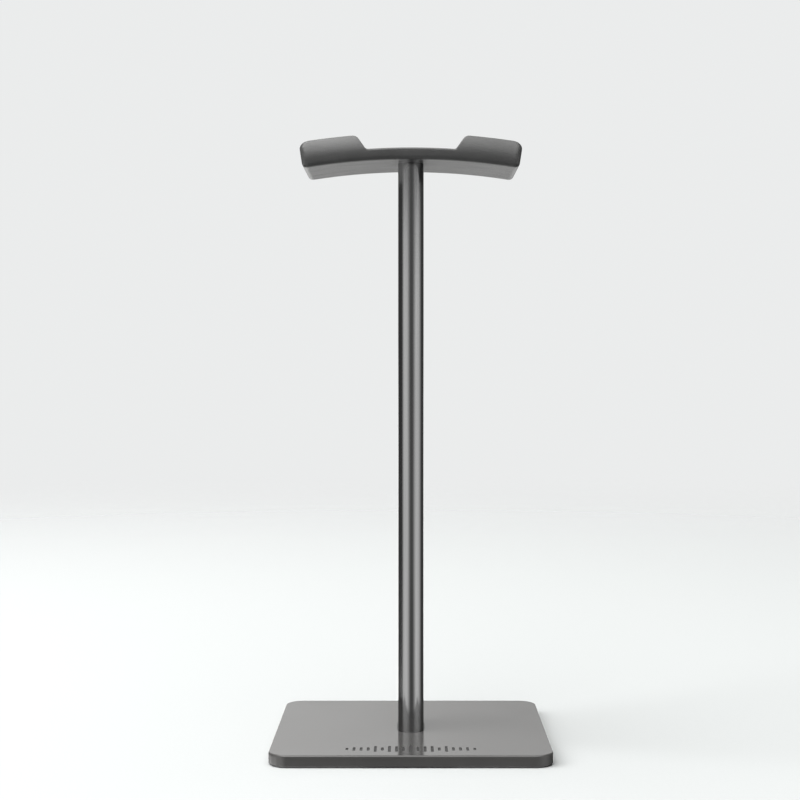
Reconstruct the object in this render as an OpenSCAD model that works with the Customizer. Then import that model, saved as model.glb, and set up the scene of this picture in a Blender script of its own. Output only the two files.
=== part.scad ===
// Headphone stand: a ballasted rectangular base, an oval aluminium pole and an
// arched, trough-shaped headrest that the headphone's band lies in.
// Millimetres. +Z is up, the front faces -Y, and the origin is the centre of
// the footprint, on the table.

/* [Base] */
// Width of the base, left to right
base_w = 120; // [104:1:160]
// Depth of the base, front to back
base_d = 100; // [90:1:130]
// Radius of the base's upright corners
base_corner_r = 8; // [6:0.5:12]
// Rounding of the base cover's top edge
base_edge_r = 0.8; // [0.3:0.1:1.2]
// Thickness of the base cover's top and rim
cover_t = 1.6; // [1.4:0.1:2.5]
// Thickness of the steel ballast plate
ballast_t = 2; // [1:0.1:4]
// Thickness of the bottom plate
bottom_t = 1.2; // [1.2:0.1:2.5]

/* [Feet] */
// Diameter of a foot pad
foot_d = 12; // [8:0.5:16]
// Height of a foot pad
foot_t = 1; // [0.8:0.1:1.2]
// Gap between the table and the base's underside
foot_gap = 0.5; // [0.4:0.1:0.6]
// Distance from the base's edges to a foot's centre
foot_inset = 13; // [12:0.5:16]

/* [Pole] */
// Width of the oval pole, left to right
pole_w = 11.5; // [11:0.5:16]
// Depth of the oval pole, front to back
pole_d = 24; // [20:0.5:28]
// Wall of the pole's tube
pole_wall = 1.2; // [0.8:0.1:1.4]
// Height of the headrest's underside above the base's top face
pole_reach = 252.1; // [180:0.1:300]

/* [Headrest] */
// Length of the headrest along its underside
rest_l = 95; // [80:1:120]
// Depth of the headrest, front to back
rest_d = 42; // [40:0.5:60]
// Radius of the arch that the underside follows
arch_r = 290; // [200:5:500]
// Height of an ear above the underside
ear_h = 11.9; // [9:0.1:16]
// Height of the rim above the underside, in the notch between two ears
notch_h = 5.2; // [5:0.1:6]
// Half the length of the notch, along its bottom
notch_half = 19.6; // [12:0.1:30]
// Thickness of the trough's floor on the centreline
floor_t = 4.4; // [4:0.1:5]
// Radius that the outside of the ears curves inwards on
bulge_r = 15; // [12:0.5:30]

/* [Hidden] */
$fn = 96;

// Heights of the base's layers, from the table up
ballast_z = foot_gap + bottom_t;
roof_z = ballast_z + ballast_t;
base_top = roof_z + cover_t;

// The base's inside and what is screwed into it
slip = 0.1;
bottom_w = base_w - 2 * (cover_t + slip);
bottom_d = base_d - 2 * (cover_t + slip);
inner_corner_r = base_corner_r - cover_t;
boss_d = 7;
base_screw_d = 2.6;
base_screw_l = 4;
base_screw_head_d = 4.6;
base_screw_head_t = 1;
screw_at = [[-0.5, -1], [0.5, -1], [-0.5, 1], [0.5, 1]];
screw_x = base_w / 2 - foot_inset - 17;
screw_y = base_d / 2 - foot_inset;

// The sound-bar mark that is pressed into the top, near the front edge
mark_bars = 19;
mark_pitch = 3;
mark_bar_w = 1.1;
mark_deep = 0.25;
mark_low = 3;
mark_high = 11.5;
mark_y = -39.5;

// Pole, its end plugs, its brass inserts and its two screws
plug_l = 18;
plug_pocket = [5, 4.2, 14];
plug_pocket_y = 7.2;
insert_d = 7;
insert_l = 10;
thread_d = 5;
thread_pitch = 0.8;
head_d = 12;
head_t = 1.2;
hex_across = 3;
hex_deep = 2.2;
shank_l = 11;
shank_hole_d = 5.5;
head_pocket_d = 13;

// Headrest
rest_z = base_top + pole_reach;
pole_z = roof_z;
half_angle = rest_l / arch_r / 2 * 180 / PI;
plate_w = 40;
plate_d = 26;
plate_t = 1.2;
plate_z = rest_z + 1.2;
pole_l = plate_z - pole_z;
under_edge_r = 1.8;
bulge_start = 2.6;
rim_r = 0.8;
floor_edge_r = 2;
rim_centre_u = ear_h - rim_r;
rim_angle = acos((rim_centre_u - bulge_start) / (bulge_r - rim_r));
rim_centre_h = rest_d / 2 - bulge_r + (bulge_r - rim_r) * sin(rim_angle);
trough_half = rim_centre_h - rim_r;
floor_half = trough_half - floor_edge_r;
floor_edge_h = notch_h - 0.2;
floor_sag = floor_edge_h - floor_t;
floor_r = (pow(floor_half, 2) + pow(floor_sag, 2)) / (2 * floor_sag);
cap_t = 1.0;
cap_clear_d = head_d + 0.2;
notch_slope = 4.4;
notch_low_r = 1.4;
ear_top_r = 2.6;
ear_end_r = 3.4;
under_end_r = 2.2;
plan_corner_r = 2;
plan_clear = 0.1;
arch_fn = 1440;

// ---------------------------------------------------------------- helpers

// Unit vector at an angle from +X
function dir(angle) = [cos(angle), sin(angle)];

// What lies between a corner at b, whose sides run along the unit vectors u and v,
// and an arc of radius r that touches both sides
module corner_fill(b, u, v, r) {
    half = acos(u * v) / 2;
    centre = b + (u + v) / norm(u + v) * r / sin(half);
    difference() {
        polygon([b + u * r / tan(half), b - (u + v) / 2, b + v * r / tan(half), centre]);
        translate(centre) circle(r);
    }
}

// Rectangle with round corners
module rounded_rect(w, d, r) {
    square([w - 2 * r, d], center = true);
    square([w, d - 2 * r], center = true);
    for (x = [-1, 1], y = [-1, 1])
        translate([x * (w / 2 - r), y * (d / 2 - r)]) circle(r);
}

// Oval with straight sides, as deep as d and as wide as w
module racetrack(w, d) {
    square([w, d - w], center = true);
    for (y = [-1, 1])
        translate([0, y * (d - w) / 2]) circle(d = w);
}

// Section of a slab's border: w wide, h high, rounded outside at top and bottom
module border_section(w, h, top_r, bottom_r) {
    difference() {
        square([w, h]);
        difference() {
            translate([w - top_r, h - top_r]) square(top_r + 1);
            translate([w - top_r, h - top_r]) circle(top_r);
        }
        difference() {
            translate([w - bottom_r, -1]) square([bottom_r + 1, bottom_r + 1]);
            translate([w - bottom_r, bottom_r]) circle(bottom_r);
        }
    }
}

// Rectangular slab with round upright corners and rounded top and bottom edges
module rounded_slab(w, d, h, corner_r, top_r, bottom_r) {
    core_w = w - 2 * corner_r;
    core_d = d - 2 * corner_r;
    translate([-core_w / 2, -core_d / 2, 0]) cube([core_w, core_d, h]);
    for (turn = [0:90:270]) {
        reach = (turn % 180 == 0 ? core_w : core_d) / 2;
        run = turn % 180 == 0 ? core_d : core_w;
        rotate(turn) {
            translate([reach, run / 2, 0]) rotate([90, 0, 0])
                linear_extrude(run) border_section(corner_r, h, top_r, bottom_r);
            translate([reach, run / 2, 0])
                rotate_extrude(angle = 90) border_section(corner_r, h, top_r, bottom_r);
        }
    }
}

// Shank with ringed thread, standing on z = 0
module threaded_shank(d, pitch, length) {
    root = d / 2 - 0.55 * pitch;
    turns = floor(length / pitch);
    rotate_extrude()
        polygon(concat(
            [[0, 0], [root, 0]],
            [for (i = [0:turns - 1], step = [0, 1])
                [step == 0 ? d / 2 : root, (i + 0.5 + 0.5 * step) * pitch]],
            [[root, length], [0, length]]));
}

// Low wafer-head screw with a hex socket; the head hangs below z = 0
module wafer_screw() {
    difference() {
        union() {
            translate([0, 0, -head_t])
                rotate_extrude() border_section(head_d / 2, head_t, 0.2, 0.4);
            threaded_shank(thread_d, thread_pitch, shank_l);
        }
        translate([0, 0, -head_t - 1])
            cylinder(h = hex_deep + 1, d = hex_across / cos(30), $fn = 6);
    }
}

module at_base_screws() {
    for (p = screw_at)
        translate([p[0] * 2 * screw_x, p[1] * screw_y, 0]) children();
}

module at_foot(side) {
    translate([side[0] * (base_w / 2 - foot_inset),
               side[1] * (base_d / 2 - foot_inset), 0]) children();
}

// ------------------------------------------------------------------- base

// Rounded bars of changing length, like a sound level
module mark() {
    for (i = [0:mark_bars - 1]) {
        x = i - (mark_bars - 1) / 2;
        swell = cos(x * 180 / (mark_bars + 1));
        beat = 0.62 + 0.38 * cos(x * 140);
        translate([x * mark_pitch, 0])
            racetrack(mark_bar_w, mark_low + (mark_high - mark_low) * swell * beat);
    }
}

module base_cover() {
    color([0.27, 0.27, 0.27]) difference() {
        union() {
            difference() {
                translate([0, 0, foot_gap])
                    rounded_slab(base_w, base_d, base_top - foot_gap,
                                 base_corner_r, base_edge_r, 0.3);
                translate([0, 0, foot_gap - 1])
                    linear_extrude(roof_z - foot_gap + 1)
                        rounded_rect(base_w - 2 * cover_t, base_d - 2 * cover_t,
                                     inner_corner_r);
            }
            at_base_screws() translate([0, 0, ballast_z])
                cylinder(h = ballast_t + 0.2, d = boss_d);
        }
        at_base_screws() translate([0, 0, ballast_z - 1])
            cylinder(h = base_screw_l - bottom_t + 1, d = base_screw_d);
        translate([0, 0, roof_z - 1]) linear_extrude(cover_t + 2)
            racetrack(pole_w + 2 * slip, pole_d + 2 * slip);
        translate([0, mark_y, base_top - mark_deep]) linear_extrude(1) mark();
    }
}

module ballast_plate() {
    color([0.55, 0.56, 0.58]) translate([0, 0, ballast_z])
        linear_extrude(ballast_t) difference() {
            rounded_rect(bottom_w - 6, bottom_d - 6, inner_corner_r);
            circle(d = shank_hole_d);
            at_base_screws() circle(d = boss_d + 1);
        }
}

module base_bottom() {
    color([0.16, 0.16, 0.16]) difference() {
        translate([0, 0, foot_gap]) linear_extrude(bottom_t) difference() {
            rounded_rect(bottom_w, bottom_d, inner_corner_r - slip);
            circle(d = head_pocket_d);
            at_base_screws() circle(d = base_screw_d + 0.2);
        }
        for (x = [-1, 1], y = [-1, 1]) at_foot([x, y])
            cylinder(h = foot_t, d = foot_d + slip);
        at_base_screws() translate([0, 0, foot_gap])
            cylinder(h = base_screw_head_t, d1 = base_screw_head_d + 0.1,
                     d2 = base_screw_d + 0.1);
    }
}

module base_screws() {
    recess = 0.7;
    color([0.72, 0.72, 0.74]) at_base_screws() translate([0, 0, foot_gap])
        difference() {
            union() {
                cylinder(h = base_screw_head_t, d1 = base_screw_head_d,
                         d2 = base_screw_d);
                translate([0, 0, base_screw_head_t])
                    threaded_shank(base_screw_d, 0.75,
                                   base_screw_l - base_screw_head_t);
            }
            for (turn = [0, 90]) rotate(turn)
                cube([2.4, 0.6, 2 * recess], center = true);
        }
}

// Rubber pad with a domed lower rim
module foot(side) {
    color([0.09, 0.09, 0.09]) at_foot(side)
        rotate_extrude() border_section(foot_d / 2, foot_t, 0.1, 0.3);
}

module foot_front_left() { foot([-1, -1]); }
module foot_front_right() { foot([1, -1]); }
module foot_back_left() { foot([-1, 1]); }
module foot_back_right() { foot([1, 1]); }

// ------------------------------------------------------------------- pole

module pole_screw() {
    color([0.72, 0.72, 0.74]) translate([0, 0, ballast_z]) wafer_screw();
}

module pole_tube() {
    color([0.42, 0.42, 0.43]) translate([0, 0, pole_z])
        linear_extrude(pole_l) difference() {
            racetrack(pole_w, pole_d);
            racetrack(pole_w - 2 * pole_wall, pole_d - 2 * pole_wall);
        }
}

// Plug pressed into the pole's end at z = 0, with a seat for a brass insert
module end_plug() {
    color([0.2, 0.2, 0.2]) difference() {
        linear_extrude(plug_l)
            racetrack(pole_w - 2 * pole_wall, pole_d - 2 * pole_wall);
        translate([0, 0, -1]) cylinder(h = insert_l + 1, d = insert_d);
        cylinder(h = plug_l - 2, d = thread_d + 0.4);
        for (y = [-1, 1])
            translate([0, y * plug_pocket_y, plug_l - plug_pocket[2] / 2])
                cube([plug_pocket[0], plug_pocket[1], plug_pocket[2] + 0.01],
                     center = true);
    }
}

// Brass insert with two grip grooves, its mouth at z = 0
module thread_insert() {
    grip = insert_d / 2;
    neck = grip - 0.5;
    bore = thread_d / 2;
    color([0.78, 0.62, 0.3]) rotate_extrude()
        polygon([[bore, 0], [grip, 0], [grip, 2.4], [neck, 2.8], [neck, 3.6],
                 [grip, 4], [grip, 6], [neck, 6.4], [neck, 7.2], [grip, 7.6],
                 [grip, insert_l], [bore, insert_l]]);
}

module at_pole_top() {
    translate([0, 0, plate_z]) mirror([0, 0, 1]) children();
}

module pole_bottom_plug() { translate([0, 0, pole_z]) end_plug(); }
module pole_bottom_insert() { translate([0, 0, pole_z]) thread_insert(); }
module pole_top_plug() { at_pole_top() end_plug(); }
module pole_top_insert() { at_pole_top() thread_insert(); }

// --------------------------------------------------------------- headrest

// One side of the headrest's section: u is height above the underside, h is depth
module ear_section() {
    bulge_centre = [bulge_start, rest_d / 2 - bulge_r];
    rim_centre = [rim_centre_u, rim_centre_h];
    difference() {
        translate([0, trough_half]) square([bulge_start, rest_d / 2 - trough_half]);
        corner_fill([0, rest_d / 2], [1, 0], [0, -1], under_edge_r);
    }
    intersection() {
        translate(bulge_centre) circle(bulge_r);
        polygon([[bulge_start, trough_half], [rim_centre_u, trough_half], rim_centre,
                 bulge_centre + 2 * bulge_r * dir(rim_angle),
                 [bulge_start, rest_d / 2 + bulge_r]]);
    }
    translate(rim_centre) circle(rim_r);
    corner_fill([floor_edge_h, trough_half], [1, 0], [0, -1], floor_edge_r);
}

// The whole section, a shallow trough: floor and both sides
module trough_section() {
    difference() {
        translate([0, -trough_half - 0.5])
            square([floor_edge_h, 2 * trough_half + 1]);
        translate([floor_t + floor_r, 0]) circle(floor_r, $fn = arch_fn);
    }
    for (side = [0, 1]) mirror([0, side, 0]) ear_section();
}

// The section swept along the arch
module arched_trough() {
    translate([0, 0, rest_z - arch_r]) rotate([90, 0, 0])
        rotate_extrude(angle = 2 * half_angle, start = 90 - half_angle, $fn = arch_fn)
            translate([arch_r, 0]) trough_section();
}

// Stands a front view up, drawn from the arch's centre, and runs it front to back
module through_depth() {
    translate([0, rest_d, rest_z - arch_r]) rotate([90, 0, 0])
        linear_extrude(2 * rest_d) children();
}

// Front view of what is cut away between the ears
module notch() {
    low = [notch_half, sqrt(pow(arch_r + notch_h, 2) - pow(notch_half, 2))];
    high_x = notch_half + notch_slope;
    high = [high_x, sqrt(pow(arch_r + ear_h, 2) - pow(high_x, 2))];
    slope = (high - low) / norm(high - low);
    beyond = high + 5 * slope;
    difference() {
        union() {
            polygon([[-low[0], low[1] - 2], [low[0], low[1] - 2], low, beyond,
                     [-beyond[0], beyond[1]], [-low[0], low[1]]]);
            for (side = [0, 1]) mirror([side, 0, 0])
                corner_fill(high, -slope, dir(-atan2(high[0], high[1])),
                            ear_top_r);
        }
        circle(arch_r + notch_h, $fn = arch_fn);
        for (side = [0, 1]) mirror([side, 0, 0])
            corner_fill(low, slope, dir(180 - atan2(low[0], low[1]) + 0.4), notch_low_r);
    }
}

// Front view of what rounds off the upper and the lower corner of one end
module end_corners() {
    out = dir(90 - half_angle);
    corner_fill((arch_r + ear_h) * out, dir(180 - half_angle), -out, ear_end_r);
    corner_fill(arch_r * out, dir(180.75 - half_angle), out, under_end_r);
}

module headrest() {
    color([0.4, 0.4, 0.4]) difference() {
        intersection() {
            arched_trough();
            translate([0, 0, rest_z - 20]) linear_extrude(50)
                rounded_rect(2 * (arch_r + ear_h) * sin(half_angle), rest_d + plan_clear,
                             plan_corner_r);
        }
        through_depth() notch();
        for (side = [0, 1]) mirror([side, 0, 0]) through_depth() end_corners();
        headrest_plate();
        translate([0, 0, rest_z - 5]) linear_extrude(plate_z - rest_z + 5)
            racetrack(pole_w, pole_d);
        translate([0, 0, rest_z]) cylinder(h = 10, d = shank_hole_d);
        translate([0, 0, plate_z + plate_t]) cylinder(h = 10, d = head_pocket_d);
    }
}

// Steel plate moulded into the headrest, with holes that the rubber fills
module headrest_plate() {
    color([0.6, 0.6, 0.62]) translate([0, 0, plate_z])
        linear_extrude(plate_t) difference() {
            rounded_rect(plate_w, plate_d, 4);
            circle(d = shank_hole_d);
            for (x = [-1, 1], y = [-1, 1])
                translate([x * 14, y * 8]) circle(d = 4);
        }
}

module headrest_screw() {
    color([0.72, 0.72, 0.74]) translate([0, 0, plate_z + plate_t])
        mirror([0, 0, 1]) wafer_screw();
}

// Soft cap that snaps over the screw's head, a little proud of the trough's floor
module headrest_cap() {
    color([0.36, 0.36, 0.36]) translate([0, 0, plate_z + plate_t])
        difference() {
            rotate_extrude()
                border_section(head_pocket_d / 2, head_t + cap_t, 0.4, 0.05);
            translate([0, 0, -1]) cylinder(h = head_t + 1, d = cap_clear_d);
        }
}

base_cover();
ballast_plate();
base_bottom();
base_screws();
foot_front_left();
foot_front_right();
foot_back_left();
foot_back_right();
pole_screw();
pole_tube();
pole_bottom_plug();
pole_bottom_insert();
pole_top_plug();
pole_top_insert();
headrest();
headrest_plate();
headrest_screw();
headrest_cap();
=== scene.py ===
"""Looks of a headphone stand: a glossy moulded base on rubber feet, a satin anodised
oval pole and an arched rubber headrest. Everything is in metres, in the frame's axes:
+Z up, the front faces -Y. Shapes are written in millimetres and scaled once."""

import math

import bmesh
import bpy
import numpy as np
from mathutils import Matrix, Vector


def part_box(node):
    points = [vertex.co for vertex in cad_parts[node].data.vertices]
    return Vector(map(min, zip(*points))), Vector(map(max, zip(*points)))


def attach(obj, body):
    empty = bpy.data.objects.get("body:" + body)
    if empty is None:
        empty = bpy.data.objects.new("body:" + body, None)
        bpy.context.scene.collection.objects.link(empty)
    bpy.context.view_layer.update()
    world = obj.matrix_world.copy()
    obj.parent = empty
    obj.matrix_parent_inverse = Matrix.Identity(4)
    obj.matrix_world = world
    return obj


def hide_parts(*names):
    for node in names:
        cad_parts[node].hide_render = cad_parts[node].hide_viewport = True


MM = 0.001

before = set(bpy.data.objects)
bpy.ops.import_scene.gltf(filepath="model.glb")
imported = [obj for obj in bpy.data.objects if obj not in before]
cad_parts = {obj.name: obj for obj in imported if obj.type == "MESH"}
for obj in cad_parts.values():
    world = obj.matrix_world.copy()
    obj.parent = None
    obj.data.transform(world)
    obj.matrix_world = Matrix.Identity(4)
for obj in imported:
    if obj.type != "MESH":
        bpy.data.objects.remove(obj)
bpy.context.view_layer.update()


def box_mm(node):
    """Lowest and highest corner of a CAD node, in millimetres."""
    return [[c / MM for c in corner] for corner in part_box(node)]


def round_node(node):
    """Centre, radius, bottom and top of an upright round CAD node, in millimetres."""
    (x0, y0, z0), (x1, y1, z1) = box_mm(node)
    return ((x0 + x1) / 2, (y0 + y1) / 2), (x1 - x0) / 2, z0, z1


# ------------------------------------------------------------------ sizes (mm)

# Base shell, its pressed mark and its opening for the pole
(_, _, BASE_Z0), (BASE_X, BASE_Y, BASE_TOP) = box_mm("base_cover")
BASE_W, BASE_D = 2 * BASE_X, 2 * BASE_Y
BASE_CORNER_R = 8.0
BASE_EDGE_R, BASE_LOW_EDGE_R = 0.8, 0.3
COVER_T = 1.6
COVER_CHAMFER = 0.2
OPENING_EDGE_R = 0.25
BAR_COUNT = 19
BAR_PITCH = 3.0
BAR_W = 1.1
BAR_SHORT, BAR_LONG = 3.0, 11.5
BAR_Y = -39.5
BAR_DEEP = 0.25
BAR_EDGE_R = 0.1

# Bottom plate and feet
BOTTOM_GAP = 0.1
BOTTOM_CHAMFER = 0.25
SCREW_X, SCREW_Y = 30.0, 37.0
SCREW_HOLE_R = 1.4
SINK_R, SINK_DEEP = 2.35, 1.0
POLE_SCREW_HOLE_R, POLE_SCREW_CHAMFER = 6.5, 0.2
POCKET_GAP, POCKET_CHAMFER = 0.05, 0.15
FOOT_EDGE_R = 0.3
GROOVE_PLACES = (0.72, 0.44)  # shares of a foot's radius
GROOVE_HALF, GROOVE_HALF_DEEP, GROOVE_DEEP = 0.35, 0.2, 0.2

# Pole
(_, _, POLE_Z0), (POLE_X, POLE_Y, POLE_Z1) = box_mm("pole_tube")
POLE_W, POLE_D = 2 * POLE_X, 2 * POLE_Y
POLE_WALL = 1.2
POLE_SLIP = 0.1
POLE_CHAMFER = 0.15

# Headrest: its arch, its sides and its section
ARCH_R = 290.0  # of the underside
UNDER_LENGTH = 95.0
HALF_ANGLE = UNDER_LENGTH / ARCH_R / 2
TRACK_R = ARCH_R + 7.0  # distances along the arch are measured here, about mid height
END_AT = HALF_ANGLE * TRACK_R
REST_Z = BASE_TOP + 252.1  # the underside's highest point
REST_D = 42.0
EAR_H = 11.9
NOTCH_H = 5.2
NOTCH_HALF = 19.8
NOTCH_SLOPE = 3.9
NOTCH_LOW_R, NOTCH_HIGH_R = 1.6, 2.8
FLOOR_T = 4.4
FLOOR_EDGE_H = 5.0
UNDER_EDGE_R = 1.8
BULGE_START, BULGE_R = 2.6, 15.0
TROUGH_HALF = 16.57
FLOOR_FILLET_R = 2.0
NOTCH_OUTER_R, EAR_OUTER_R = 0.95, 0.62
NOTCH_INNER_R, EAR_INNER_R = 0.34, 0.42
ROUND_SHARE = 0.8  # of the outer radius: how far below a side's top its rounding starts
END_TOP_R, END_SIDE_R, END_EDGE_R = 3.4, 2.1, 0.35
END_EASE = 14.0

# Steps of the headrest's section, from the middle of the underside to the top of a side,
# and as many again from there to the middle of the trough's floor
UNDER_STEPS, EDGE_STEPS, WALL_STEPS, CORNER_STEPS = 6, 6, 11, 6
HALF_STEPS = UNDER_STEPS + EDGE_STEPS + WALL_STEPS + CORNER_STEPS + 1
FLOOR_STEPS = 8
INNER_STEPS = HALF_STEPS - 1 - CORNER_STEPS - FLOOR_STEPS

# Cap over the headrest's screw
CAP_SKIRT = 1.3  # hidden round the screw's head, and left out
CAP_EDGE_R = 0.4
CAP_DOME = 0.1


# ------------------------------------------------------------------ node tools


class Nodes:
    """Short ways to build a node tree."""

    def __init__(self, tree):
        self.tree = tree

    def add(self, kind, inputs=None, **settings):
        """A new node, with values or links for its sockets and settings for its options."""
        node = self.tree.nodes.new("ShaderNode" + kind)
        for name, value in settings.items():
            setattr(node, name, value)
        for name, value in (inputs or {}).items():
            self.put(node.inputs[name], value)
        return node

    def put(self, socket, value):
        """Links a socket to another node's output, or sets its value."""
        if isinstance(value, bpy.types.NodeSocket):
            self.tree.links.new(value, socket)
        else:
            socket.default_value = value

    def math(self, operation, a, b=0.0):
        return self.add("Math", {0: a, 1: b}, operation=operation).outputs[0]

    def times(self, product, *factors):
        """The product of several values."""
        for factor in factors:
            product = self.math("MULTIPLY", product, factor)
        return product

    def ramp(self, value, low, high, to_low=0.0, to_high=1.0):
        """value from low..high to to_low..to_high, smoothly."""
        inputs = {"Value": value, "From Min": low, "From Max": high,
                  "To Min": to_low, "To Max": to_high}
        return self.add("MapRange", inputs, interpolation_type="SMOOTHSTEP").outputs["Result"]

    def rise(self, value, span):
        """0 below the span, 1 above it."""
        return self.ramp(value, *span)

    def fall(self, value, span):
        """1 below the span, 0 above it."""
        return self.ramp(value, *span, 1.0, 0.0)

    def hill(self, value, up, down):
        """0 to 1 over one span, and back to 0 over the next."""
        return self.times(self.rise(value, up), self.fall(value, down))

    def noise(self, vector, scale, detail=3.0, roughness=0.5):
        inputs = {"Vector": vector, "Scale": scale, "Detail": detail, "Roughness": roughness}
        return self.add("TexNoise", inputs).outputs["Fac"]

    def stretched(self, vector, factors):
        """Object coordinates scaled by a factor along each axis."""
        return self.add("Mapping", {"Vector": vector, "Scale": factors}).outputs["Vector"]

    def blend(self, factor, a, b):
        """The colour factor of the way from a to b."""
        mix = self.add("Mix", {"Factor": factor}, data_type="RGBA")
        self.put(mix.inputs["A"], (*a, 1.0) if isinstance(a, tuple) else a)
        self.put(mix.inputs["B"], (*b, 1.0) if isinstance(b, tuple) else b)
        return mix.outputs["Result"]

    def painted_edge_highlight(self, low, high, amount):
        """amount where the shape has a sharp outer edge, 0 elsewhere: the mask of a painted edge
        highlight.
        """
        return self.times(self.ramp(self.add("NewGeometry").outputs["Pointiness"], low, high), amount)

    def bump(self, height, distance, strength=1.0, normal=None):
        """The surface's normal, or another bump's, with a height map on it."""
        inputs = {"Height": height, "Distance": distance, "Strength": strength}
        if normal is not None:
            inputs["Normal"] = normal
        return self.add("Bump", inputs).outputs["Normal"]

    def surface(self, shader, colour, roughness, normal):
        """Feeds a shader what varies over its surface."""
        self.put(shader.inputs["Base Color"], colour)
        self.put(shader.inputs["Roughness"], roughness)
        self.put(shader.inputs["Normal"], normal)


def new_material(name, **uniform):
    """A material, its node tools, its shader and its object coordinates. uniform sets
    shader sockets that are the same all over."""
    material = bpy.data.materials.new(name)
    material.use_nodes = True
    nodes = Nodes(material.node_tree)
    shader = material.node_tree.nodes["Principled BSDF"]
    for socket, value in uniform.items():
        shader.inputs[socket.replace("_", " ")].default_value = value
    return material, nodes, shader, nodes.add("TexCoord").outputs["Object"]


# ------------------------------------------------------------------- materials


def gloss_cover():
    """Dark grey moulded ABS: glossy, faintly wavy, with dust, hairlines and a painted highlight on
    its sharp edges.
    """
    material, n, shader, at = new_material("cover_gloss_abs", IOR=1.5)
    cloud = n.noise(at, 28.0, 4.0, 0.55)
    speck = n.noise(at, 2600.0, 2.0)
    hairline = n.noise(n.stretched(at, (260.0, 16.0, 40.0)), 9.0, 5.0, 0.7)
    colour = n.blend(n.ramp(cloud, 0.3, 0.7), (0.043, 0.042, 0.041), (0.052, 0.051, 0.050))
    # sharp edges painted paler grey: a painted highlight along the rims
    colour = n.blend(n.painted_edge_highlight(0.52, 0.60, 0.5), colour, (0.13, 0.13, 0.13))
    haze = n.ramp(cloud, 0.25, 0.75, 0.10, 0.17)
    dust = n.ramp(speck, 0.62, 0.75, 0.0, 0.12)
    scratch = n.ramp(hairline, 0.60, 0.80, 0.0, 0.06)
    roughness = n.math("ADD", n.math("ADD", haze, dust), scratch)
    wavy = n.bump(n.noise(at, 45.0, 2.0), 0.00025, 0.25)
    n.surface(shader, colour, roughness, n.bump(speck, 0.00001, 0.35, wavy))
    return material


def mark_floor_painted_shade():
    """The pressed bars' floors: the same plastic with a fine spark-eroded matt grain, and its colour
    darkened as painted shade in the recesses.
    """
    material, n, shader, at = new_material("mark_floor_painted_shade_abs", IOR=1.5)
    grain = n.noise(at, 5200.0, 3.0, 0.7)
    # colours darker than the cover's: painted shade in the pressed bars
    colour = n.blend(grain, (0.014, 0.014, 0.014), (0.026, 0.026, 0.026))
    roughness = n.ramp(grain, 0.3, 0.7, 0.50, 0.68)
    n.surface(shader, colour, roughness, n.bump(grain, 0.00006, 0.6))
    return material


def matt_moulding(name, dark, light):
    """Black or dark plastic with an even spark-eroded texture."""
    material, n, shader, at = new_material(name, IOR=1.5)
    grain = n.noise(at, 3600.0, 4.0, 0.65)
    cloud = n.noise(at, 60.0, 3.0)
    colour = n.blend(n.ramp(grain, 0.3, 0.7), dark, light)
    roughness = n.ramp(cloud, 0.2, 0.8, 0.52, 0.58)
    n.surface(shader, colour, roughness, n.bump(grain, 0.00008, 0.6))
    return material


def anodised_pole():
    """Satin dark grey anodised aluminium: fine extrusion lines run along the pole."""
    material, n, shader, at = new_material("pole_anodised", Metallic=1.0)
    line = n.noise(n.stretched(at, (1.0, 1.0, 0.006)), 2400.0, 4.0, 0.6)
    broad = n.noise(n.stretched(at, (1.0, 1.0, 0.02)), 420.0, 3.0)
    cloud = n.noise(at, 16.0, 3.0)
    colour = n.blend(n.ramp(broad, 0.3, 0.7), (0.300, 0.300, 0.303), (0.345, 0.345, 0.348))
    fine = n.ramp(line, 0.3, 0.7, 0.0, 0.05)
    roughness = n.math("ADD", n.ramp(cloud, 0.3, 0.7, 0.11, 0.14), fine)
    n.surface(shader, colour, roughness, n.bump(line, 0.000012, 0.5))
    return material


def headrest_rubber():
    """Dark grey thermoplastic rubber: satin, with a fine moulded grain, soft cloudiness and a painted
    highlight on its sharp edges.
    """
    material, n, shader, at = new_material("headrest_satin_rubber", IOR=1.5)
    grain = n.noise(at, 1600.0, 5.0, 0.65)
    cloud = n.noise(at, 50.0, 4.0, 0.55)
    flow = n.noise(n.stretched(at, (0.25, 1.0, 1.0)), 170.0, 3.0)
    colour = n.blend(n.ramp(cloud, 0.3, 0.7), (0.031, 0.031, 0.031), (0.039, 0.039, 0.039))
    # sharp edges painted paler grey: a painted highlight along the rims
    colour = n.blend(n.painted_edge_highlight(0.52, 0.62, 0.35), colour, (0.11, 0.11, 0.11))
    fine = n.ramp(grain, 0.4, 0.7, 0.0, 0.05)
    roughness = n.math("ADD", n.ramp(flow, 0.3, 0.7, 0.30, 0.37), fine)
    n.surface(shader, colour, roughness, n.bump(grain, 0.00012, 0.8))
    return material


def foot_rubber():
    """Matt black rubber with fine pores."""
    material, n, shader, at = new_material("foot_black_rubber", IOR=1.5)
    pores = n.noise(at, 2200.0, 5.0, 0.7)
    colour = n.blend(pores, (0.010, 0.010, 0.010), (0.028, 0.028, 0.027))
    roughness = n.ramp(pores, 0.3, 0.7, 0.70, 0.88)
    n.surface(shader, colour, roughness, n.bump(pores, 0.00010, 0.6))
    return material


def turned_metal(name, colour, dark):
    """Turned or rolled metal: rings of fine tool marks and a little tarnish."""
    material, n, shader, at = new_material(name, Metallic=1.0)
    marks = n.noise(n.stretched(at, (1.0, 1.0, 40.0)), 900.0, 3.0)
    tarnish = n.noise(at, 240.0, 4.0)
    tarnished = n.blend(n.ramp(tarnish, 0.35, 0.75), colour, dark)
    roughness = n.ramp(marks, 0.3, 0.7, 0.20, 0.36)
    n.surface(shader, tarnished, roughness, n.bump(marks, 0.00002, 0.4))
    return material


# ------------------------------------------------------------------ mesh tools


def arc(centre, r, a0, a1, count):
    """count + 1 points on an arc, angles in degrees."""
    angles = np.radians(np.linspace(a0, a1, count + 1))
    return [(centre[0] + r * math.cos(a), centre[1] + r * math.sin(a)) for a in angles]


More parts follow.
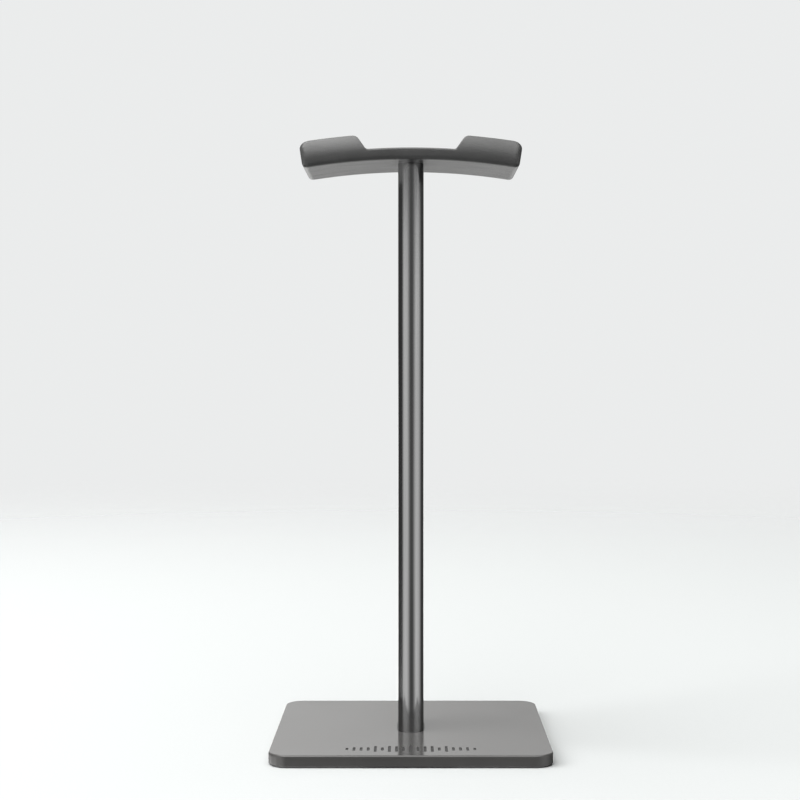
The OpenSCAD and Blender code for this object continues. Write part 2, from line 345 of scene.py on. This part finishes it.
def rounded_rect(w, d, r, inset=0.0, count=12):
    """Corner by corner outline of a round-cornered rectangle, moved in by inset."""
    cx, cy, r = w / 2 - r, d / 2 - r, r - inset
    corners = [(cx, cy, 0), (-cx, cy, 90), (-cx, -cy, 180), (cx, -cy, 270)]
    return [p for x, y, a in corners for p in arc((x, y), r, a, a + 90, count)]


def racetrack(w, d, inset=0.0, centre=(0.0, 0.0), count=16):
    """Outline of an oval with straight sides along Y, moved in by inset."""
    r, run = w / 2 - inset, (d - w) / 2
    x, y = centre
    return arc((x, y + run), r, 0, 180, count) + arc((x, y - run), r, 180, 360, count)


def circle(r, centre=(0.0, 0.0), count=48):
    return arc(centre, r, 0, 360, count)[:-1]


def rounded_edge(outline, z, r, steps=2, side=1):
    """Rows that round an edge, from a side wall, outline(0), to a flat at height z. side
    is -1 for an edge at the bottom of the wall."""
    return [(outline(r * (1 - math.cos(t))), z - side * r * (1 - math.sin(t)))
            for t in np.radians(np.linspace(0, 90, steps + 1))]


def rounded_mouth(outline, z, r):
    """Rows of a hole's rounded mouth, from a flat at height z down to the hole's wall."""
    return rounded_edge(lambda inset: outline(-inset), z, r)[::-1]


class Builder:
    """A mesh made of loops of vertices, in millimetres."""

    def __init__(self):
        self.bm = bmesh.new()
        self.slot = 0

    def loop(self, outline, z):
        return [self.bm.verts.new((x * MM, y * MM, z * MM)) for x, y in outline]

    def face(self, verts):
        made = self.bm.faces.new(verts)
        made.material_index = self.slot

    def bridge(self, a, b):
        for i in range(len(a)):
            j = (i + 1) % len(a)
            self.face((a[i], a[j], b[j], b[i]))

    def tube(self, loops):
        """Joins loops in a row and returns the first and the last."""
        for a, b in zip(loops, loops[1:]):
            self.bridge(a, b)
        return loops[0], loops[-1]

    def rows(self, rows):
        """A tube through outlines at heights."""
        return self.tube([self.loop(outline, z) for outline, z in rows])

    def turned(self, profile, centre=(0.0, 0.0), count=48):
        """A tube through circles, from (radius, height) points."""
        return self.rows([(circle(r, centre, count), z) for r, z in profile])

    def fill(self, *loops):
        """A flat face inside the first loop, with the others as holes."""
        edges = []
        for loop in loops:
            for i, vert in enumerate(loop):
                pair = (vert, loop[(i + 1) % len(loop)])
                edges.append(self.bm.edges.get(pair) or self.bm.edges.new(pair))
        made = bmesh.ops.triangle_fill(self.bm, use_beauty=True, edges=edges)
        for item in made["geom"]:
            if isinstance(item, bmesh.types.BMFace):
                item.material_index = self.slot

    def fan(self, loop, z):
        """A round face: triangles from a loop to its middle at height z."""
        middle = sum((vert.co for vert in loop), Vector()) / len(loop)
        middle.z = z * MM
        hub = self.bm.verts.new(middle)
        for i, vert in enumerate(loop):
            self.face((vert, loop[(i + 1) % len(loop)], hub))

    def finish(self, name, slot, replaced, *materials, sharp=32.0):
        """The finished piece: smooth shaded, riding on the frame, in place of CAD nodes."""
        bmesh.ops.recalc_face_normals(self.bm, faces=self.bm.faces)
        mesh = bpy.data.meshes.new(name)
        self.bm.to_mesh(mesh)
        self.bm.free()
        mesh.polygons.foreach_set("use_smooth", [True] * len(mesh.polygons))
        mesh.set_sharp_from_angle(angle=math.radians(sharp))
        for material in materials:
            mesh.materials.append(material)
        piece = bpy.data.objects.new(name, mesh)
        bpy.context.scene.collection.objects.link(piece)
        weighted = piece.modifiers.new("Weighted normals", "WEIGHTED_NORMAL")
        weighted.keep_sharp = True
        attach(piece, "root")
        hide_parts(*replaced)


# ------------------------------------------------------------------------ base


def bars():
    """Each bar's place along X and its length: a sound level that swells to the middle."""
    middle = (BAR_COUNT - 1) / 2
    for i in range(BAR_COUNT):
        x = i - middle
        swell = math.cos(math.pi * x / (BAR_COUNT + 1))
        beat = 0.62 + 0.38 * math.cos(math.radians(140 * x))
        yield x * BAR_PITCH, BAR_SHORT + (BAR_LONG - BAR_SHORT) * swell * beat


def make_cover(gloss, matt):
    """The shell: rounded outside, hollow under, open for the pole, with the pressed bars."""
    b = Builder()
    roof = POLE_Z0

    def outside(inset):
        return rounded_rect(BASE_W, BASE_D, BASE_CORNER_R, inset)

    rows = [(outside(COVER_T), roof), (outside(COVER_T), BASE_Z0 + COVER_CHAMFER),
            (outside(COVER_T - COVER_CHAMFER), BASE_Z0)]
    rows += rounded_edge(outside, BASE_Z0, BASE_LOW_EDGE_R, side=-1)[::-1]
    rows += rounded_edge(outside, BASE_TOP, BASE_EDGE_R, steps=7)
    inner, rim = b.rows(rows)

    def opening(inset):
        return racetrack(POLE_W + 2 * POLE_SLIP, POLE_D + 2 * POLE_SLIP, inset)

    rows = rounded_mouth(opening, BASE_TOP, OPENING_EDGE_R) + [(opening(0.0), roof)]
    hole_top, hole_roof = b.rows(rows)

    mouths = []
    for x, length in bars():
        def bar(inset):
            return racetrack(BAR_W, length, inset, (x, BAR_Y), 8)

        rows = rounded_mouth(bar, BASE_TOP, BAR_EDGE_R) + [(bar(0.0), BASE_TOP - BAR_DEEP)]
        mouth, floor = b.rows(rows)
        mouths.append(mouth)
        # slot 1 is the bars' floors, whose material paints shade into them
        b.slot = 1
        b.fill(floor)
        b.slot = 0
    b.fill(rim, hole_top, *mouths)
    b.fill(inner, hole_roof)
    b.finish("base_shell", "cover_plastic", ["base_cover"], gloss, matt, sharp=16.0)


def feet_nodes():
    return [f"foot_{row}_{side}" for row in ("front", "back") for side in ("left", "right")]


def make_bottom(material):
    """The bottom plate: foot pockets, countersunk screw holes and the pole screw's hole."""
    (x0, y0, z0), (x1, y1, z1) = box_mm("base_bottom")
    b = Builder()

    def outside(inset):
        return rounded_rect(x1 - x0, y1 - y0, BASE_CORNER_R - COVER_T - BOTTOM_GAP, inset)

    low, high = b.rows([(outside(BOTTOM_CHAMFER), z0), (outside(0.0), z0 + BOTTOM_CHAMFER),
                        (outside(0.0), z1)])

    def hole(centre, r, mouth_r, deep, top=z1):
        """The two ends of a round hole whose mouth narrows from mouth_r to r."""
        return b.turned([(mouth_r, z0), (r, z0 + deep), (r, top)], centre)

    holes = [hole((0.0, 0.0), POLE_SCREW_HOLE_R, POLE_SCREW_HOLE_R + POLE_SCREW_CHAMFER,
                  POLE_SCREW_CHAMFER)]
    for x in (-SCREW_X, SCREW_X):
        for y in (-SCREW_Y, SCREW_Y):
            holes.append(hole((x, y), SCREW_HOLE_R, SINK_R, SINK_DEEP))
    pockets = []
    for node in feet_nodes():
        centre, foot_r, _, foot_top = round_node(node)
        r = foot_r + POCKET_GAP
        pocket, pocket_roof = hole(centre, r, r + POCKET_CHAMFER, POCKET_CHAMFER, foot_top)
        pockets.append(pocket)
        b.fill(pocket_roof)
    b.fill(low, *(mouth for mouth, _ in holes), *pockets)
    b.fill(high, *(end for _, end in holes))
    b.finish("bottom_plate", "bottom_plastic", ["base_bottom"], material)


def make_foot(node, material):
    """A rubber pad with a rolled rim and two grip grooves in its sole."""
    centre, r, z0, z1 = round_node(node)
    b = Builder()
    profile = [(r, z1)] + arc((r - FOOT_EDGE_R, z0 + FOOT_EDGE_R), FOOT_EDGE_R, 0, -90, 3)
    for place in GROOVE_PLACES:
        g, deep = r * place, z0 + GROOVE_DEEP
        profile += [(g + GROOVE_HALF, z0), (g + GROOVE_HALF_DEEP, deep),
                    (g - GROOVE_HALF_DEEP, deep), (g - GROOVE_HALF, z0)]
    top, sole = b.turned(profile, centre)
    b.fan(top, z1)
    b.fan(sole, z0)
    b.finish(node.replace("foot_", "foot_pad_"), "foot_rubber", [node], material, sharp=50.0)


# ------------------------------------------------------------------------ pole


def make_pole(material):
    """The oval tube, with its sawn ends lightly broken."""
    b = Builder()

    def outside(inset):
        return racetrack(POLE_W, POLE_D, inset, count=40)

    insets = (POLE_WALL, POLE_WALL - POLE_CHAMFER, POLE_CHAMFER, 0.0)
    low = (POLE_Z0 + POLE_CHAMFER, POLE_Z0, POLE_Z0, POLE_Z0 + POLE_CHAMFER)
    high = (POLE_Z1 - POLE_CHAMFER, POLE_Z1, POLE_Z1, POLE_Z1 - POLE_CHAMFER)
    ends = list(zip(insets, low)) + list(zip(insets[::-1], high))
    first, last = b.rows([(outside(inset), z) for inset, z in ends])
    b.bridge(last, first)
    b.finish("pole_oval_tube", "pole_aluminium", ["pole_tube"], material)


# -------------------------------------------------------------------- headrest


def wall_depth(u):
    """Depth of the ears' outside at height u above the underside."""
    if u <= BULGE_START:
        return REST_D / 2
    return REST_D / 2 - BULGE_R + math.sqrt(BULGE_R ** 2 - (u - BULGE_START) ** 2)


def eased_corner(corner, start, end, count):
    """count + 1 points that round a corner from start to end, leaving along both sides."""
    points = []
    for t in np.radians(np.linspace(0, 90, count + 1)):
        a, c = 1 - math.sin(t), 1 - math.cos(t)
        points.append(tuple(corner[i] + a * (start[i] - corner[i]) + c * (end[i] - corner[i])
                            for i in (0, 1)))
    return points


def half_section(height):
    """Half the headrest's section where its side is height tall, as (u, h) points from the
    middle of the underside, round the side, to the middle of the trough's floor."""
    share = (height - NOTCH_H) / (EAR_H - NOTCH_H)
    outer_r = NOTCH_OUTER_R + (EAR_OUTER_R - NOTCH_OUTER_R) * share
    inner_r = NOTCH_INNER_R + (EAR_INNER_R - NOTCH_INNER_R) * share
    flat_half = REST_D / 2 - UNDER_EDGE_R
    points = [(0.0, flat_half * i / UNDER_STEPS) for i in range(UNDER_STEPS)]
    points += arc((UNDER_EDGE_R, flat_half), UNDER_EDGE_R, 180, 90, EDGE_STEPS)
    top_u = height - ROUND_SHARE * outer_r
    points += [(u, wall_depth(u)) for u in np.linspace(UNDER_EDGE_R, top_u, WALL_STEPS + 1)[1:]]
    corner = (height, wall_depth(height))
    points += eased_corner(corner, points[-1], (height, corner[1] - outer_r), CORNER_STEPS)[1:]

    fillet_centre = (FLOOR_EDGE_H + FLOOR_FILLET_R, TROUGH_HALF - FLOOR_FILLET_R)
    sweep = math.acos(max(0.0, (fillet_centre[0] - height) / FLOOR_FILLET_R))
    straight = max(0.0, height - fillet_centre[0])
    corner = (height, fillet_centre[1] + FLOOR_FILLET_R * math.sin(sweep))
    length = straight + FLOOR_FILLET_R * sweep

    def inner(distance):
        """The point this far down the inside from the corner."""
        if distance < straight:
            return (height - distance, TROUGH_HALF)
        a = sweep - (distance - straight) / FLOOR_FILLET_R
        return (fillet_centre[0] - FLOOR_FILLET_R * math.cos(a),
                fillet_centre[1] + FLOOR_FILLET_R * math.sin(a))

    inner_top = (height, corner[1] + inner_r)
    points.append(((points[-1][0] + inner_top[0]) / 2, (points[-1][1] + inner_top[1]) / 2))
    points += eased_corner(corner, inner_top, inner(inner_r), CORNER_STEPS)
    points += [inner(d) for d in np.linspace(inner_r, length, INNER_STEPS + 1)[1:]]
    edge_h = fillet_centre[1]
    sag = FLOOR_EDGE_H - FLOOR_T
    floor_r = (edge_h ** 2 + sag ** 2) / (2 * sag)
    for h in np.linspace(edge_h, 0.0, FLOOR_STEPS + 1)[1:]:
        points.append((FLOOR_T + floor_r - math.sqrt(floor_r ** 2 - h ** 2), h))
    return points


def whole_section(height):
    """The full outline: one half, then its mirror image back to the start."""
    half = half_section(height)
    return half + [(u, -h) for u, h in reversed(half[1:-1])]


def side_profile():
    """Stations from the middle to where one end's edge rounding starts, as (distance along
    the arch, side's height)."""
    low = (NOTCH_HALF, NOTCH_H)
    high = (NOTCH_HALF + NOTCH_SLOPE, EAR_H)
    slope = np.subtract(high, low) / np.linalg.norm(np.subtract(high, low))

    def rounding(corner, back, forward, r, count):
        half = math.acos(float(np.dot(back, forward))) / 2
        reach = r / math.tan(half)
        start = np.add(corner, np.multiply(back, reach))
        stop = np.add(corner, np.multiply(forward, reach))
        return eased_corner(corner, start, stop, count)

    lower = rounding(low, (-1.0, 0.0), slope, NOTCH_LOW_R, 7)
    upper = rounding(high, -slope, (1.0, 0.0), NOTCH_HIGH_R, 9)
    stations = [(s, NOTCH_H) for s in np.linspace(0.0, lower[0][0], 12)[:-1]]
    stations += lower
    stations += [tuple(p) for p in np.linspace(lower[-1], upper[0], 5)[1:-1]]
    stations += upper
    ear_start = upper[-1][0]
    ear_length = END_AT - END_EDGE_R - ear_start
    for t in np.linspace(0.0, 1.0, 22)[1:]:  # closer together towards the end
        stations.append((ear_start + ear_length * (1 - (1 - t) ** 1.5), EAR_H))
    return stations


def end_inset(u, h):
    """How far the headrest's end is rounded in at this point of the section: by one radius
    under the ears' tops, and by another along the sides and the underside."""
    below_top = max(0.0, u - (EAR_H - END_TOP_R))
    off_side = math.hypot(max(0.0, END_SIDE_R - u), max(0.0, abs(h) - wall_depth(u) + END_SIDE_R))
    return (END_TOP_R - math.sqrt(max(0.0, END_TOP_R ** 2 - below_top ** 2))
            + END_SIDE_R - math.sqrt(max(0.0, END_SIDE_R ** 2 - off_side ** 2)))


def on_arch(s, u, h):
    """A point at distance s along the arch, u above the underside and h deep."""
    a = s / TRACK_R
    r = ARCH_R + u
    return (r * math.sin(a) * MM, h * MM, (REST_Z - ARCH_R + r * math.cos(a)) * MM)


def end_point(s, u, h):
    """The same point, drawn back near an end so that the end's corners come out rounded."""
    near = min(1.0, max(0.0, 1 - (END_AT - abs(s)) / END_EASE))
    drawn = abs(s) - end_inset(u, h) * near ** 2 * (3 - 2 * near)
    return on_arch(math.copysign(drawn, s), u, h)


def shrunk(points, amount):
    """A section outline moved inwards by amount."""
    p = np.array(points)
    along = np.roll(p, -1, axis=0) - np.roll(p, 1, axis=0)
    along /= np.linalg.norm(along, axis=1)[:, None]
    return p + amount * np.column_stack([along[:, 1], -along[:, 0]])


def close_end(b, ring, outline, s, rungs=9):
    """Fills an end with a ladder of faces between the section's outside and its inside,
    from one ear's top to the other's."""
    ladder = []
    for i in range(1 - HALF_STEPS, HALF_STEPS):
        outer, inner = i % len(ring), 2 * HALF_STEPS - i
        row = [ring[outer]]
        for share in (np.arange(1, rungs) / rungs) ** 1.4:  # closer together at the outside
            u, h = outline[outer] + (outline[inner] - outline[outer]) * share
            row.append(b.bm.verts.new(end_point(s, u, h)))
        ladder.append([*row, ring[inner]])
    for k in range(rungs):
        for row, following in zip(ladder, ladder[1:]):
            b.face((row[k], row[k + 1], following[k + 1], following[k]))
        b.face((ladder[0][k], ladder[0][k + 1], ring[-HALF_STEPS]))
        b.face((ladder[-1][k], ladder[-1][k + 1], ring[HALF_STEPS]))


def make_headrest(material):
    """The trough swept along the arch, its ends rounded and closed."""
    b = Builder()
    profile = side_profile()
    stations = [(-s, height) for s, height in reversed(profile[1:])] + profile
    rings = [[b.bm.verts.new(end_point(s, u, h)) for u, h in whole_section(height)]
             for s, height in stations[1:-1]]
    outline = whole_section(EAR_H)
    for side in (-1, 1):
        edge_rings = []
        for t in np.radians(np.linspace(0, 90, 6)):
            s = side * (END_AT - END_EDGE_R * (1 - math.sin(t)))
            section = shrunk(outline, END_EDGE_R * (1 - math.cos(t)))
            edge_rings.append([b.bm.verts.new(end_point(s, u, h)) for u, h in section])
        close_end(b, edge_rings[-1], section, s)
        rings = edge_rings[::-1] + rings if side < 0 else rings + edge_rings
    b.tube(rings)
    b.finish("headrest_saddle", "headrest_rubber", ["headrest"], material, sharp=60.0)


def make_cap(material):
    """The soft button over the headrest's screw, slightly domed."""
    _, r, z0, z1 = round_node("headrest_cap")
    under_z = z0 + CAP_SKIRT
    rim_z = z1 - 0.9 * CAP_DOME  # where the dome meets the edge's rounding
    b = Builder()
    profile = [(r - CAP_EDGE_R, under_z), (r, under_z)]
    profile += arc((r - CAP_EDGE_R, rim_z - CAP_EDGE_R), CAP_EDGE_R, 0, 90, 5)
    profile += [(r * q, z1 - CAP_DOME * q * q) for q in (0.8, 0.6, 0.4, 0.2)]
    under, top = b.turned(profile, count=64)
    b.fan(under, under_z)
    b.fan(top, z1)
    b.finish("headrest_button", "headrest_rubber", ["headrest_cap"], material)


# ----------------------------------------------------------------------- stage

FLOOR_REACH = 5.0
FLOOR_FADE = (0.35, 1.7)


def make_floor():
    """A pale floor that fades into the backdrop and is seen from above only."""
    mesh = bpy.data.meshes.new("floor")
    corners = [(x * FLOOR_REACH, y * FLOOR_REACH, 0) for x, y in ((-1, -1), (1, -1), (1, 1), (-1, 1))]
    mesh.from_pydata(corners, [], [(0, 1, 2, 3)])
    floor = bpy.data.objects.new("floor", mesh)
    bpy.context.scene.collection.objects.link(floor)
    material, n, shader, at = new_material("floor_pale", Roughness=0.85, Specular_IOR_Level=0.2)
    grain = n.noise(at, 900.0, 3.0)
    n.put(shader.inputs["Base Color"], n.blend(grain, (0.36, 0.37, 0.37), (0.385, 0.395, 0.395)))
    distance = n.add("VectorMath", {0: at}, operation="LENGTH").outputs["Value"]
    from_above = n.math("SUBTRACT", 1.0, n.add("NewGeometry").outputs["Backfacing"])
    n.put(shader.inputs["Alpha"], n.times(n.fall(distance, FLOOR_FADE), from_above))
    mesh.materials.append(material)
    floor.visible_glossy = False


# The room as light, by direction. Angles are in degrees: around is 0 in front of the stand
# and grows to the right, away is 0 right behind it, and up is 0 at the horizon. A pair of
# numbers is the span over which an edge of a light comes or goes, and the plain numbers
# are strengths.

ROOM_FRONT, ROOM_BACK, ROOM_TURN = 0.155, 0.085, (12.0, 95.0)

# Two tall softboxes, each with a gap near its top and a brighter strip above it
LEFT_BOX, LEFT_NEAR, LEFT_FAR = 1.12, (-39.0, -1.0), (-89.0, -60.0)
RIGHT_BOX, RIGHT_NEAR, RIGHT_FAR = 1.14, (12.0, 50.0), (64.0, 111.0)
RIGHT_BOX_FOOT = (-17.0, -14.5)
SIDE_BOX_TOP = (6.4, 8.0)
STRIP, STRIP_FOOT, STRIP_TOP = 2.7, (11.8, 13.4), (14.8, 16.4)

# A low box on the left, for the base's left front corner to mirror
CORNER_BOX, CORNER_LEFT, CORNER_RIGHT = 3.0, (-141.0, -129.0), (-74.0, -62.0)
CORNER_FOOT, CORNER_TOP = (-27.5, -24.5), (-16.5, -13.5)

# The screen behind the stand: bright under the horizon, where the headrest's underside
# mirrors it, and again above it for the base's top; a narrow flag dims it under the
# horizon, right behind the pole
SCREEN, SCREEN_SIDE, SCREEN_TOP = 1.12, (22.0, 34.0), (34.0, 46.0)
SCREEN_UNDER, SCREEN_UNDER_SPAN = 1.55, (-4.0, 6.0)
SCREEN_LOW, SCREEN_HIGH, SCREEN_HIGH_SPAN = 0.60, 1.2, (9.0, 19.0)
SCREEN_RIGHT, SCREEN_RIGHT_SPAN = 0.72, (-0.12, 0.12)
FLAG, FLAG_SIDE, FLAG_TOP = 0.9, (0.9, 3.0), (-4.0, 0.0)

# The box overhead, whose edges are places on a ceiling at height 1; its left half is
# fuller, and it fades out towards the horizon, by the sine of the angle up
OVERHEAD, OVERHEAD_LEFT, OVERHEAD_RIGHT = 3.25, (-0.72, -0.48), (0.48, 0.72)
OVERHEAD_FRONT, OVERHEAD_BACK, OVERHEAD_HORIZON = (-2.8, -0.1), (0.2, 0.6), (0.05, 0.3)
FULLER, FULLER_RIGHT, FULLER_FRONT = 1.15, (-0.3, 0.1), (-2.4, -1.2)


def side_boxes(n, around, up):
    """The left and the right softbox."""
    strip = n.times(n.hill(up, STRIP_FOOT, STRIP_TOP), STRIP)
    lit = n.math("ADD", n.fall(up, SIDE_BOX_TOP), strip)
    left = n.times(n.hill(around, LEFT_FAR, LEFT_NEAR), lit, LEFT_BOX)
    right = n.times(n.hill(around, RIGHT_NEAR, RIGHT_FAR), lit, n.rise(up, RIGHT_BOX_FOOT), RIGHT_BOX)
    return left, right


def corner_box(n, around, up):
    across = n.hill(around, CORNER_LEFT, CORNER_RIGHT)
    return n.times(across, n.hill(up, CORNER_FOOT, CORNER_TOP), CORNER_BOX)


def screen(n, x, around, up):
    away = n.math("SUBTRACT", 180.0, n.math("ABSOLUTE", around))
    panel = n.times(n.fall(away, SCREEN_SIDE), n.fall(up, SCREEN_TOP))
    under = n.ramp(up, *SCREEN_UNDER_SPAN, SCREEN_UNDER, 0.0)
    over = n.ramp(up, *SCREEN_HIGH_SPAN, SCREEN_LOW, SCREEN_HIGH)
    across = n.ramp(x, *SCREEN_RIGHT_SPAN, 1.0, SCREEN_RIGHT)
    flag = n.times(n.fall(away, FLAG_SIDE), n.fall(up, FLAG_TOP), FLAG)
    return n.times(panel, n.math("MAXIMUM", under, over), across,
                   n.math("SUBTRACT", 1.0, flag), SCREEN)


def overhead_box(n, x, y, z):
    height = n.math("MAXIMUM", z, 0.02)
    across, along = n.math("DIVIDE", x, height), n.math("DIVIDE", y, height)
    fuller = n.times(n.fall(across, FULLER_RIGHT), n.rise(along, FULLER_FRONT), FULLER)
    return n.times(n.hill(across, OVERHEAD_LEFT, OVERHEAD_RIGHT),
                   n.hill(along, OVERHEAD_FRONT, OVERHEAD_BACK),
                   n.rise(z, OVERHEAD_HORIZON), n.math("ADD", 1.0, fuller), OVERHEAD)


BACKDROP = (0.83, 0.84, 0.84, 1.0)
STUDIO_WHITE = (1.0, 1.0, 0.99, 1.0)


def make_studio():
    """The lights in a dim room. The camera itself sees a plain pale backdrop."""
    world = bpy.data.worlds.new("studio")
    bpy.context.scene.world = world
    world.use_nodes = True
    world.node_tree.nodes.clear()
    n = Nodes(world.node_tree)
    axes = n.add("SeparateXYZ", {0: n.add("TexCoord").outputs["Generated"]}).outputs
    x, y, z = axes[0], axes[1], axes[2]
    around = n.times(n.math("ARCTAN2", x, n.times(y, -1.0)), math.degrees(1.0))
    up = n.times(n.math("ARCSINE", z), math.degrees(1.0))
    light = n.ramp(n.math("ABSOLUTE", around), *ROOM_TURN, ROOM_FRONT, ROOM_BACK)
    for box in (*side_boxes(n, around, up), corner_box(n, around, up), screen(n, x, around, up),
                overhead_box(n, x, y, z)):
        light = n.math("ADD", box, light)
    studio = n.add("Background", {"Color": STUDIO_WHITE, "Strength": light})
    backdrop = n.add("Background", {"Color": BACKDROP, "Strength": 1.0})
    seen = n.add("LightPath").outputs["Is Camera Ray"]
    mixed = n.add("MixShader", {0: seen, 1: studio.outputs[0], 2: backdrop.outputs[0]})
    n.add("OutputWorld", {"Surface": mixed.outputs[0]})


KEY_PLACE = (-1.72, -0.28, 1.32)
KEY_SIZE = 1.5
KEY_WATTS = 72.0


def make_key():
    """A soft key light from the left that gives the pole its short shadow."""
    data = bpy.data.lights.new("key", "AREA")
    data.shape, data.size, data.size_y = "RECTANGLE", KEY_SIZE, KEY_SIZE
    data.energy = KEY_WATTS
    key = bpy.data.objects.new("key", data)
    bpy.context.scene.collection.objects.link(key)
    key.location = KEY_PLACE
    key.rotation_euler = (-key.location).to_track_quat("-Z", "Y").to_euler()
    key.visible_glossy = key.visible_camera = False


CAMERA_PLACE = (0.0, -0.636, 0.163)
CAMERA_SENSOR, CAMERA_LENS = 36.0, 63.54
CAMERA_SHIFT = (-0.0136, -0.0304)


def make_camera():
    """The photograph's camera: straight ahead and level."""
    data = bpy.data.cameras.new("camera")
    data.sensor_width, data.lens = CAMERA_SENSOR, CAMERA_LENS
    data.shift_x, data.shift_y = CAMERA_SHIFT
    data.clip_start, data.clip_end = 0.01, 20.0
    camera = bpy.data.objects.new("camera", data)
    bpy.context.scene.collection.objects.link(camera)
    camera.location = CAMERA_PLACE
    camera.rotation_euler = (math.radians(90), 0.0, 0.0)
    bpy.context.scene.camera = camera


# ------------------------------------------------------------------- the scene


def paint(material, *nodes):
    """Gives CAD nodes that stay as they are their material."""
    for node in nodes:
        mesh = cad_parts[node].data
        mesh.materials.clear()
        mesh.materials.append(material)


make_camera()
make_studio()
make_floor()
make_key()

rubber = headrest_rubber()
make_cover(gloss_cover(), mark_floor_painted_shade())
make_bottom(matt_moulding("bottom_matt_black", (0.008, 0.008, 0.008), (0.022, 0.022, 0.022)))
sole = foot_rubber()
for foot in feet_nodes():
    make_foot(foot, sole)
make_pole(anodised_pole())
make_headrest(rubber)
make_cap(rubber)

zinc = turned_metal("zinc_steel", (0.62, 0.63, 0.65), (0.45, 0.46, 0.47))
brass = turned_metal("turned_brass", (0.72, 0.52, 0.22), (0.50, 0.34, 0.13))
plug_plastic = matt_moulding("plug_dark_plastic", (0.015, 0.015, 0.015), (0.035, 0.035, 0.035))
paint(zinc, "ballast_plate", "base_screws", "pole_screw", "headrest_plate", "headrest_screw")
paint(brass, "pole_bottom_insert", "pole_top_insert")
paint(plug_plastic, "pole_bottom_plug", "pole_top_plug")

scene = bpy.context.scene
scene.view_settings.view_transform = "Standard"
scene.cycles.use_denoising = True
